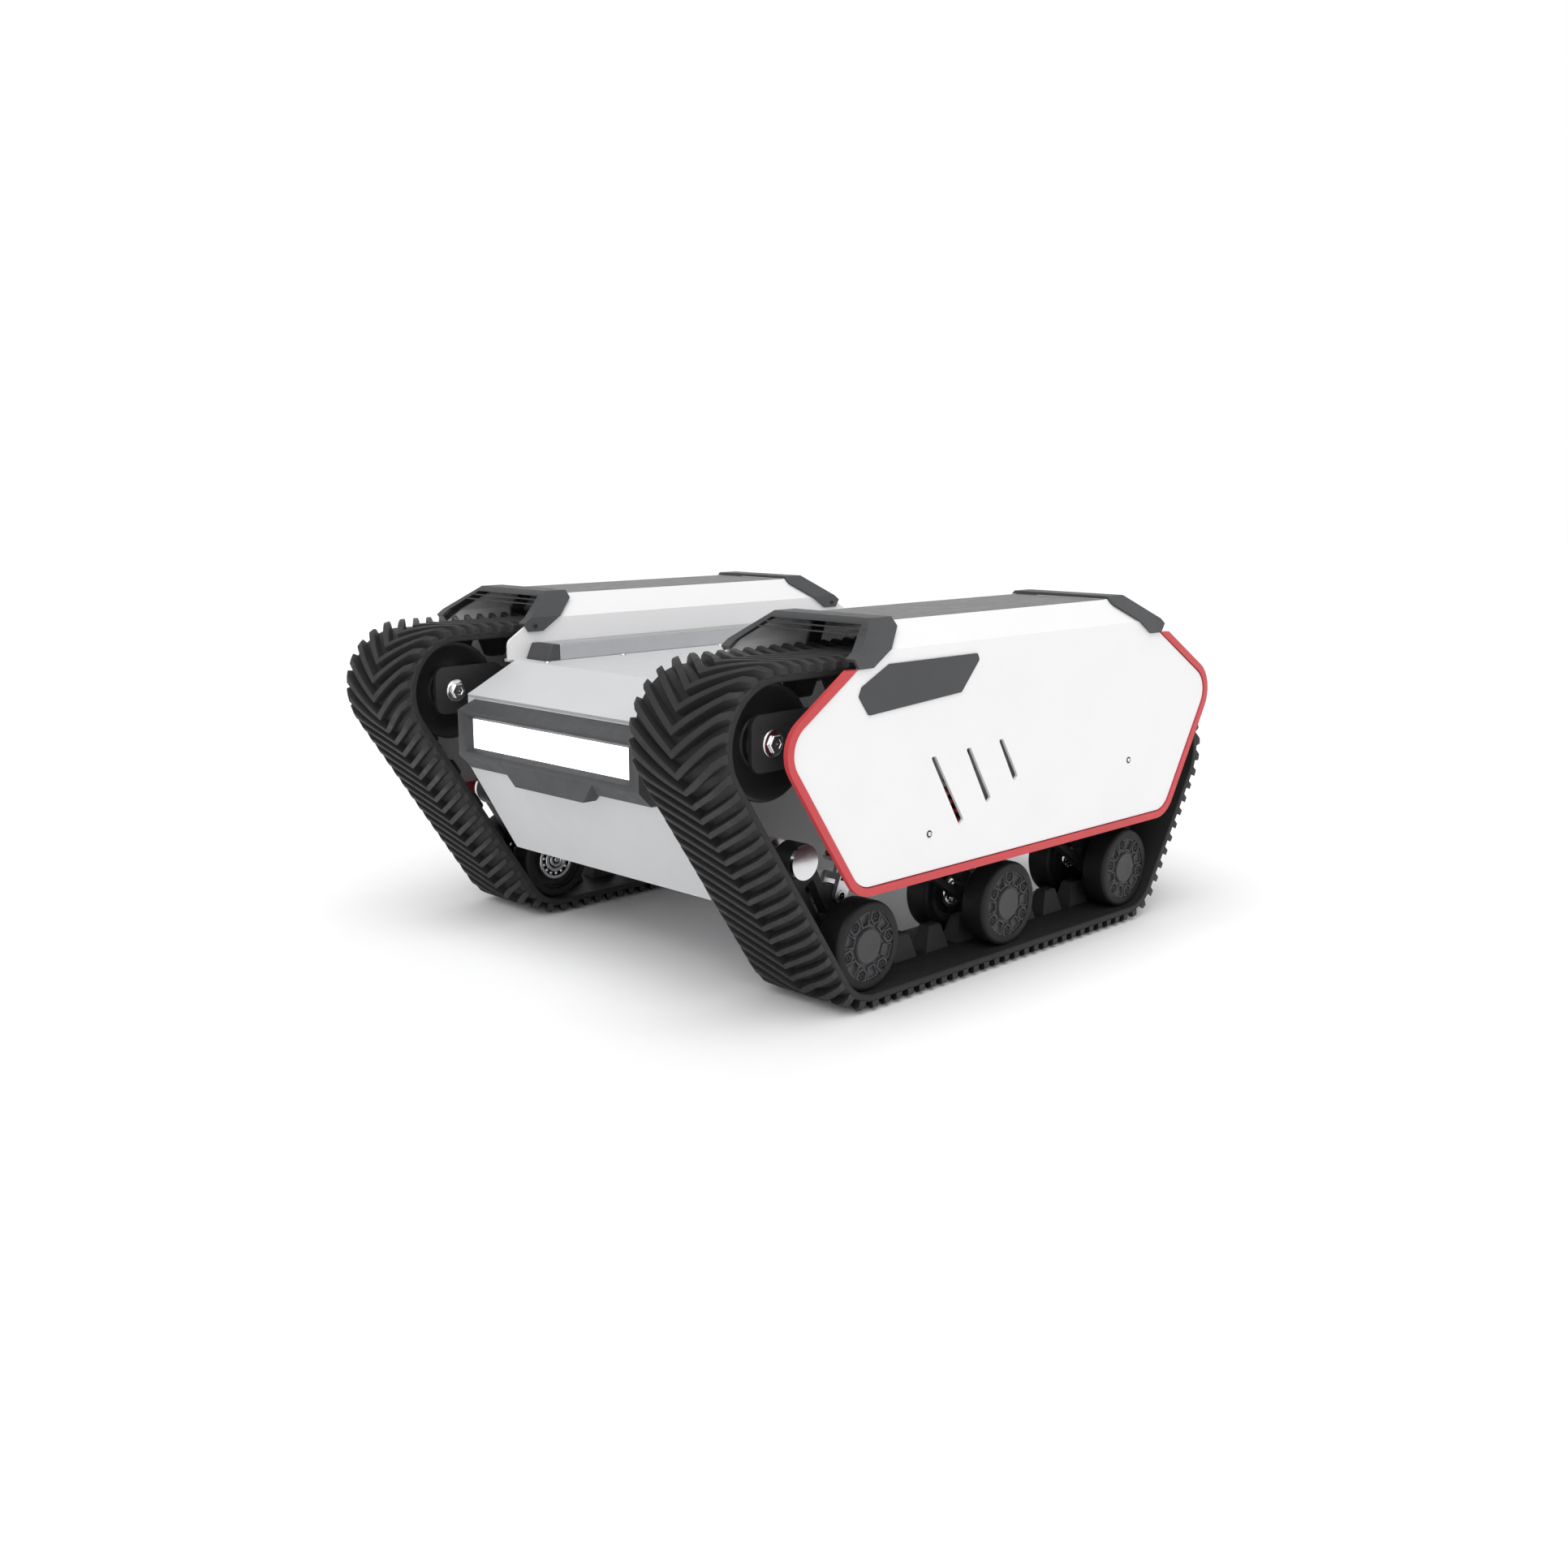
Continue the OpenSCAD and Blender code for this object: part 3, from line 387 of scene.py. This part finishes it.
def hub_cap(bm):
    """A polar relief of the cap's moulding, closed behind."""
    radii = [8, 16, 20.8, 21.2, 22.3, 22.7] + [23.2 + 0.62 * k for k in range(37)] + [47.6, 48.0, CAP_R]
    count = 288

    def ring(r, depth_at):
        return [bm.verts.new((r * math.cos(a), CAP_FACE - depth_at(a), r * math.sin(a)))
                for a in angles(count)]

    rows = [ring(r, lambda a, r=r: hub_height(r, a)) for r in radii]
    rows.append(ring(CAP_R, lambda a: CAP_DEPTH))
    top = bm.verts.new((0, CAP_FACE - hub_height(0, 0), 0))
    low = bm.verts.new((0, CAP_FACE - CAP_DEPTH, 0))
    for k in range(count):
        j = (k + 1) % count
        bm.faces.new((top, rows[0][k], rows[0][j]))
        bm.faces.new((low, rows[-1][j], rows[-1][k]))
        for a, b in zip(rows, rows[1:]):
            bm.faces.new((a[k], b[k], b[j], a[j]))


def socket_screw(bm, x, z, y, side, radius=3.4, height=1.8):
    """Button screw with a hexagonal socket, standing on the plane y and facing side."""
    count = 24

    def head(a):
        return radius

    def rounded(a):
        return radius - 0.5

    def socket(a):
        return radius * 0.5 * math.cos(math.pi / 6) / math.cos((a % (math.pi / 3)) - math.pi / 6)

    rings = []
    for reach, h in ((head, 0), (head, height - 0.7), (rounded, height),
                     (socket, height), (socket, height - 1.2)):
        rings.append([(x + reach(a) * math.cos(a), y + side * h, z + reach(a) * math.sin(a))
                      for a in angles(count)])
    solid(bm, rings)


def tyre_profile(r, inner, y_in, y_out, soft=5):
    """Outline of a rubber ring with rounded shoulders, as (radius, y)."""
    points = [(inner, y_in)]
    for k in range(7):
        a = math.radians(15 * k)
        points.append((r - soft + soft * math.sin(a), y_in + soft - soft * math.cos(a)))
    for k in range(7):
        a = math.radians(15 * k)
        points.append((r - soft + soft * math.cos(a), y_out - soft + soft * math.sin(a)))
    points.append((inner, y_out))
    return points


def wheel_tyres(bm):
    """The two rubber rings, either side of the guide horns."""
    r, inner, shoulder = ROAD_R - BELT_GAP, 44, 6
    lathe(bm, tyre_profile(r, inner, DISC_IN + 1.5, DISC_OUT - 0.2, shoulder), 128)
    lathe(bm, tyre_profile(r, inner, -DISC_OUT, -DISC_IN - 1.5, shoulder), 128)


def wheel_discs(bm):
    """The stepped disc under each tyre: the outer one flat under its cap, the inner one round a bearing."""
    under_cap = [(20, 59)]
    round_bearing = [(45, -62), (43, -64), (41, -64), (39, -59), (33, -58.5), (31, -64), (29.5, -64),
                     (29.5, -56), (20, -56)]
    for s, outer_face in ((1, under_cap), (-1, round_bearing)):
        inner_face = [(20, s * (DISC_IN + 1)), (24, s * (DISC_IN + 1)), (25, s * (DISC_IN + 7)),
                      (33, s * (DISC_IN + 8)), (35, s * (DISC_IN + 4)), (43, s * (DISC_IN + 3)),
                      (46, s * (DISC_IN + 5)), (46, s * 59)]
        lathe(bm, inner_face + outer_face, 96)


def ball_ring(bm, count, circle, y, radius):
    """Bearing balls on a circle about the Y axis."""
    for a in angles(count):
        centre = (circle * math.cos(a), y, circle * math.sin(a))
        bmesh.ops.create_icosphere(bm, subdivisions=2, radius=radius, matrix=Matrix.Translation(centre))


def wheel_bearings(bm):
    """Ball bearings in the discs' inner faces, the hub tube, and the bearing and axle end facing the hull."""
    deep = 40
    for s in (1, -1):
        lathe(bm, [(16.5, s * DISC_IN), (19.5, s * DISC_IN), (20.5, s * (DISC_IN + 1)), (20.5, s * deep),
                   (16.5, s * deep)], 72)
        lathe(bm, [(8, s * (DISC_IN + 0.3)), (12, s * (DISC_IN + 0.3)), (12, s * deep), (8, s * deep)], 72)
        ball_ring(bm, 12, 14.25, s * (DISC_IN + 2.4), 2.1)
    lathe(bm, [(4, -DISC_IN - 1), (10, -DISC_IN - 1), (10, DISC_IN + 1), (4, DISC_IN + 1)], 48)
    back, edge = -52, 0.6
    for low, high, face in ((24.6, 29.4, -64.5), (13.2, 18.6, -64.5), (6.8, 11.4, -65.5)):
        lathe(bm, [(low, back), (high, back), (high, face + edge), (high - edge, face), (low + edge, face),
                   (low, face + edge)], 96)
    lathe(bm, [(0.5, back), (4.2, back), (4.2, -66), (3.4, -66.6), (0.5, -66.6)], 36)
    ball_ring(bm, 14, 21.6, -61, 2.9)


def cap_screws(bm):
    """The screws in the hub cap's bosses."""
    for a in angles(SCREWS):
        socket_screw(bm, SCREW_CIRCLE * math.cos(a), SCREW_CIRCLE * math.sin(a), CAP_FACE - 2.2, 1)


def wheel_meshes(turn):
    """One set of meshes for a left wheel about its own centre; the right wheel is the same turned over."""
    parts = {
        "tyre": (wheel_tyres, TYRE), "cap": (hub_cap, CAP), "disc": (wheel_discs, DISC),
        "bearing": (wheel_bearings, STEEL), "screws": (cap_screws, BLACK),
    }
    made = {}
    for key, (build, mat) in parts.items():
        bm = bmesh.new()
        build(bm)
        made[key] = mesh_from(f"wheel_{key}", bm, mat, 30, turn)
    return made


def wheels():
    """The six road wheels, those at each place along the track turned by a different angle."""
    sets = {unit: wheel_meshes(math.radians(11 + 17 * n)) for n, unit in enumerate(UNITS)}
    for side, sign in SIDES:
        for unit in UNITS:
            at = Matrix.Translation((WHEEL_X[unit] * MM, sign * TRACK_Y * MM, WHEEL_Z * MM))
            if sign < 0:
                at = at @ Matrix.Rotation(math.pi, 4, "Z")
            for key, mesh in sets[unit].items():
                obj = place(f"{key}_{unit}_{side}", mesh, f"wheel_{unit}_{side}_body", at=at)
                if key == "tyre":
                    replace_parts(obj, f"wheel_{unit}_{side}")


# ---------- shock absorbers ----------
COIL_WIRE, COIL_TURNS, COIL_FLAT = 3.1, 7.2, 0.85
EAR_R = 11


def turned2(v, degrees):
    """A 2-D vector turned anticlockwise."""
    a = math.radians(degrees)
    return (v[0] * math.cos(a) - v[1] * math.sin(a), v[0] * math.sin(a) + v[1] * math.cos(a))


def shock_frame(unit, sign):
    """Matrix that stands a shape at a shock absorber's foot and points its Z along it."""
    ear = turned2(SHOCK_EAR, ARM_RISE[unit])
    at = Vector((WHEEL_X[unit] + ear[0], sign * TRACK_Y, WHEEL_Z + ear[1])) * MM
    return Matrix.Translation(at) @ Matrix.Rotation(math.radians(-SHOCK_LEAN[unit]), 4, "Y")


def coil(bm, radius, wire, z0, z1, turns):
    """Helical spring whose end turns lie flat on its seats."""
    steps = 28
    rings = []
    for k in range(int(turns * steps) + 1):
        t = k / steps
        span = max(0.0, min(1.0, (t - COIL_FLAT) / (turns - 2 * COIL_FLAT)))
        z = z0 + wire + (z1 - z0 - 2 * wire) * span
        a = 2 * math.pi * t
        centre = Vector((radius * math.cos(a), radius * math.sin(a), z))
        out = Vector((math.cos(a), math.sin(a), 0))
        rings.append([centre + out * wire * math.cos(b) + Vector((0, 0, 1)) * wire * math.sin(b)
                      for b in angles(12)])
    solid(bm, rings)


def shock_spring(tag, at):
    """The red coil, with a mesh of its own."""
    bm = bmesh.new()
    coil(bm, SPRING_R - 3.2, COIL_WIRE, SEAT_LOW, SEAT_HIGH, COIL_TURNS)
    spring = piece(f"coil_{tag}", bm, SPRING, f"damper_{tag}_body", smooth=60, at=at)
    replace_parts(spring, f"spring_{tag}")
    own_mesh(spring)


def shock_body(tag, at):
    """The black cylinder with the spring's upper seat and the eye at its top."""
    bm = bmesh.new()
    lathe_z(bm, [(0.5, 66), (11, 66), (12.5, 67.5), (12.5, 74), (14, 75.5), (14, 118), (15, 120),
                 (15, SEAT_HIGH), (SPRING_R, SEAT_HIGH), (SPRING_R + 1, SEAT_HIGH + 1.2),
                 (SPRING_R + 1, SEAT_HIGH + 4), (SPRING_R - 1, SEAT_HIGH + 5), (13, SEAT_HIGH + 5),
                 (12, SEAT_HIGH + 8), (12, 141), (0.5, 141)])
    eye = [(7.1, -10.5), (12, -10.5), (13.5, -9), (13.5, 9), (12, 10.5), (7.1, 10.5)]
    lathe(bm, eye, 48, (0, 0, SHOCK_LEN))
    damper = piece(f"damper_shell_{tag}", bm, BLACK, f"damper_{tag}_body", at=at)
    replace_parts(damper, f"damper_{tag}")


def shock_rod(tag, at):
    """The bright rod with the spring's lower seat and the fork that holds the arm's pin."""
    bm = bmesh.new()
    lathe_z(bm, [(0.5, 24), (6, 24), (6, 84), (0.5, 84)], 40)
    lathe_z(bm, [(7, SEAT_LOW - 5), (SPRING_R - 1, SEAT_LOW - 5), (SPRING_R + 1, SEAT_LOW - 3.5),
                 (SPRING_R + 1, SEAT_LOW - 1), (SPRING_R, SEAT_LOW), (7, SEAT_LOW)])
    round_end = [(EAR_R * math.cos(a), EAR_R * math.sin(a))
                 for a in (math.pi + math.pi * k / 16 for k in range(17))]
    ear = round_end + [(EAR_R, 22), (8, 27), (-8, 27), (-EAR_R, 22)]
    for y in (-16, 9):
        prism(bm, [(x, y, z) for x, z in ear], (0, 1, 0), 7)
    prism(bm, [(-10, -16, 18), (10, -16, 18), (8, -16, 26.5), (-8, -16, 26.5)], (0, 1, 0), 32)
    rod_between(bm, (0, -17, 0), (0, 17, 0), 5)
    lathe(bm, [(1, 16), (7.5, 16), (7.5, 16.6), (6.5, 17), (1, 17)], 6)
    rod = piece(f"rod_fork_{tag}", bm, SATIN, f"rod_{tag}_body", bevel=0.5, at=at)
    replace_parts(rod, f"rod_{tag}")


def shocks():
    """The six shock absorbers, each a coil, a body and a rod."""
    for side, sign in SIDES:
        for unit in UNITS:
            at = shock_frame(unit, sign)
            tag = f"{unit}_{side}"
            shock_spring(tag, at)
            shock_body(tag, at)
            shock_rod(tag, at)


# ---------- deck rails ----------
SLOT_MOUTH, SLOT_WIDE, SLOT_DEEP, SLOT_LIP = 3, 6, 8, 2


def slot_outline(y, top):
    """The (y, z) points of one T-slot, from its near lip to its far one."""
    near = [(-SLOT_MOUTH - 0.5, 0), (-SLOT_MOUTH, -0.5), (-SLOT_MOUTH, -SLOT_LIP), (-SLOT_WIDE, -SLOT_LIP),
            (-SLOT_WIDE, -5), (-SLOT_MOUTH, -SLOT_DEEP)]
    far = [(-dy, dz) for dy, dz in reversed(near)]
    return [(y + dy, top + dz) for dy, dz in near + far]


def rails():
    """Extruded rails with two T-slots each, and a dark wedge at each end."""
    alloy, dark = bmesh.new(), bmesh.new()
    low, high = DECK_Z, DECK_Z + RAIL_H
    near, far = RAIL_Y
    for _, sign in SIDES:
        outline = [(near + 1, low), (near, low + 1), (near, high - 0.8), (near + 0.8, high)]
        for share in (0.25, 0.75):
            outline += slot_outline(near + share * (far - near), high)
        outline += [(far - 0.8, high), (far, high - 0.8), (far, low + 1), (far - 1, low)]
        solid(alloy, [[(x, sign * y, z) for y, z in outline] for x in RAIL_X])
        for x, way in ((RAIL_X[1], 1), (RAIL_X[0], -1)):
            wedge = [(0, low), (WEDGE, low), (WEDGE, low + 1), (WEDGE - 10, high), (WEDGE - 11, high + 0.5),
                     (0, high + 0.5)]
            solid(dark, [[(x + way * dx, sign * y, z) for dx, z in wedge] for y in RAIL_Y])
    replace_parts(piece("deck_rail_bars", alloy, SATIN, "chassis", bevel=0.3), "deck_rails")
    piece("deck_rail_ends", dark, TRIM, "chassis", bevel=0.9)


# ---------- idlers ----------
IDLER_BORE, IDLER_HUB = 10.1, 31


def idlers():
    """Dished discs on a stepped hub."""
    r = END_R - BELT_GAP
    dish = [(IDLER_BORE, 62), (IDLER_HUB - 1.5, 62), (IDLER_HUB, 60.5), (IDLER_HUB, 53), (33, 51), (38, 50.5),
            (46, 52), (54, 55.5), (60, 60), (62.5, 62), (65, 62.5), (67.3, 62), (r, 60.5), (r, 31.5),
            (65.5, DISC_IN), (IDLER_BORE, DISC_IN)]
    end = DISC_IN + 1
    for side, sign in SIDES:
        bm = bmesh.new()
        for s in (1, -1):
            lathe(bm, [(a, s * b) for a, b in dish], 128)
        lathe(bm, [(IDLER_BORE, -end), (IDLER_HUB, -end), (IDLER_HUB, end), (IDLER_BORE, end)], 64)
        at = Matrix.Translation(Vector((IDLER[0], sign * TRACK_Y, IDLER[1])) * MM)
        obj = piece(f"idler_disc_{side}", bm, DISC, f"idler_{side}_wheel", smooth=32, at=at)
        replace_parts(obj, f"idler_{side}")


# ---------- fasteners ----------
PANEL_SCREWS = ((178, 218), (-255, 255))
CAP_TIPS, CAP_TIP_Z = (301, -309), 439
DECK_SCREWS, DECK_SCREW_Y = (-380, -190, 0, 190, 325), 145


def flange_bolt(bm, x, y, z, side):
    """Hexagon bolt with a broad conical flange, standing on the plane y and facing side."""
    flange = [(1, 0), (15.8, 0), (15.8, 1.2), (12.5, 3), (1, 3)]
    head = [(1, 2), (11.5, 2), (11.5, 6.6), (10, 8), (6.4, 8), (5.6, 7), (1, 7)]
    for profile, segments in ((flange, 64), (head, 6)):
        lathe(bm, [(r, y + side * h) for r, h in profile], segments, (x, 0, z))


def deck_screw(bm, x, y):
    """Round-headed screw with a recess, on the deck."""
    profile = ((4.6, 0), (4.6, 1.2), (3.8, 2.2), (2.1, 2.2), (2.0, 1.0))
    solid(bm, [[(x + r * math.cos(a), y + r * math.sin(a), DECK_Z + h) for a in angles(24)]
               for r, h in profile])


def fasteners():
    """Idler bolts, panel screws each in a dark ring painted as the shade of its recessed hole, cap screws and
    deck screws.
    """
    bolts, dark, small = bmesh.new(), bmesh.new(), bmesh.new()
    pod = TRACK_Y + POD_HALF
    for _, sign in SIDES:
        flange_bolt(bolts, IDLER[0], sign * (TRACK_Y + IDLER_ARM_OUT), IDLER[1], sign)
        flange_bolt(bolts, IDLER[0], sign * (TRACK_Y - IDLER_ARM_OUT), IDLER[1], -sign)
        for x, z in PANEL_SCREWS:
            # Dark ring round each panel screw: painted shade standing in for the screw's recessed hole in the
            # panel.
            hole_shade_ring = [(3.1, 0), (4.6, 0), (4.6, 0.5), (4.1, 1), (3.1, 1)]
            lathe(dark, [(r, sign * (pod + y)) for r, y in hole_shade_ring], 40, (x, 0, z))
            socket_screw(small, x, z, sign * pod, sign, 3.0, 1.4)
        for x in CAP_TIPS:
            socket_screw(dark, x, CAP_TIP_Z, sign * (TRACK_Y - POD_HALF - 4.5), -sign, 3.0, 2.2)
        for x in DECK_SCREWS:
            deck_screw(small, x, sign * DECK_SCREW_Y)
    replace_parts(piece("idler_bolts", bolts, STEEL, "chassis", bevel=0.4), "fasteners")
    # Black cap-tip screws, together with the dark rings of painted hole shade round the panel screws.
    piece("black_screws_and_painted_hole_shade", dark, BLACK, "chassis")
    piece("small_screws", small, STEEL, "chassis")


# ---------- build ----------
for side, sign in SIDES:
    track(side, sign)
wheels()
shocks()
rails()
idlers()
fasteners()

dress("hull_tub", GREY, 0.8)
dress("front_plate", GREY, 1.2)
dress("rear_plate", TRIM, 0.8)
dress("hoods", GREY, 1.2)
dress("deck_plate", GREY, 0.6)
dress("front_bumper", TRIM, 1.2)
dress("light_lens", LENS, 0.8)
dress("side_panels", WHITE, 1.2)
dress("inner_panels", WHITE, 1.2)
dress("top_strips", STRIP, 0.8)
dress("panel_rims", RED, 1.5)
dress("side_badges", BADGE, 0.6)
dress("pod_caps", TRIM, 1.0)
dress("pod_frames", MOTOR, 0.6)
dress("idler_arms", BLACK, 1.5)
dress("pivot_shafts", STEEL, 0.8)
dress("drive_motors", MOTOR, 0.8)
dress("electronics", BOARD, 1.0)
dress("estop_button", BUTTON, 1.5)
dress("power_button", STEEL, 0.6)
for side, sign in SIDES:
    dress(f"sprocket_{side}", BLACK, 0.8)
    dress(f"roller_{side}", BLACK, 1.0)
    for unit in UNITS:
        dress(f"arm_{unit}_{side}", BLACK, 0.8)


# ---------- studio ----------
FLOOR_REACH, FLOOR_TOP, FLOOR_LOW = 14, -0.0005, -0.02
HORIZON_WHITE, OVERHEAD = (0.36, 1.0), (0.6, 0.42)  # height of a direction, and its brightness
SUNS = (("top", (-0.45, -0.3, -1), 60, 2.2), ("key", (-0.2, -1, -0.3), 60, 0.3))
CAMERA_AT, CAMERA_YAW, CAMERA_PITCH = (1.6264, 1.6327, 0.6457), 225.03, -11.01
CAMERA_LENS, CAMERA_SHIFT = 36.196, -0.0036


def add_object(name, data):
    """Makes an object and links it into the scene."""
    obj = bpy.data.objects.new(name, data)
    bpy.context.scene.collection.objects.link(obj)
    return obj


def studio_floor():
    """A broad pale slab just under the tracks."""
    bm = bmesh.new()
    corners = ((-1, -1), (1, -1), (1, 1), (-1, 1))
    solid(bm, [[(x * FLOOR_REACH, y * FLOOR_REACH, z) for x, y in corners] for z in (FLOOR_LOW, FLOOR_TOP)])
    mesh = bpy.data.meshes.new("floor")
    bm.to_mesh(mesh)
    bm.free()
    floor = add_object("floor", mesh)
    mesh.materials.append(material("studio_floor", (0.93, 0.93, 0.935), 0.75, mottle=0.004, grain=40, bump=0.0))


def studio_world():
    """Surroundings that are white round the horizon and dimmer overhead."""
    world = bpy.data.worlds.new("studio")
    bpy.context.scene.world = world
    world.use_nodes = True
    tree = world.node_tree
    background = tree.nodes["Background"]
    background.inputs["Color"].default_value = (1, 1, 1, 1)
    split = tree.nodes.new("ShaderNodeSeparateXYZ")
    tree.links.new(tree.nodes.new("ShaderNodeTexCoord").outputs["Generated"], split.inputs["Vector"])
    fall = tree.nodes.new("ShaderNodeMapRange")
    for end, (height, strength) in (("Min", HORIZON_WHITE), ("Max", OVERHEAD)):
        fall.inputs[f"From {end}"].default_value = height
        fall.inputs[f"To {end}"].default_value = strength
    tree.links.new(split.outputs["Z"], fall.inputs["Value"])
    tree.links.new(fall.outputs["Result"], background.inputs["Strength"])


def studio_lights():
    """Two broad soft suns: a strong one from above on the camera's side, and a weak one onto the left side."""
    for name, toward, angle, power in SUNS:
        light = bpy.data.lights.new(name, "SUN")
        light.energy = power
        light.angle = math.radians(angle)
        obj = add_object(name, light)
        obj.location = (0, 0, 3)
        obj.rotation_mode = "QUATERNION"
        obj.rotation_quaternion = Vector(toward).to_track_quat("-Z", "Y")


def studio_camera():
    """The camera at the photograph's place, angle and framing."""
    cam = bpy.data.cameras.new("camera")
    eye = add_object("camera", cam)
    yaw, pitch = math.radians(CAMERA_YAW), math.radians(CAMERA_PITCH)
    look = Vector((math.cos(pitch) * math.cos(yaw), math.cos(pitch) * math.sin(yaw), math.sin(pitch)))
    eye.location = CAMERA_AT
    eye.rotation_mode = "QUATERNION"
    eye.rotation_quaternion = look.to_track_quat("-Z", "Y")
    cam.sensor_width = 36
    cam.lens = CAMERA_LENS
    cam.shift_x = CAMERA_SHIFT
    cam.clip_start, cam.clip_end = 0.05, 60
    bpy.context.scene.camera = eye
    bpy.context.scene.view_settings.view_transform = "Standard"


studio_floor()
studio_world()
studio_lights()
studio_camera()
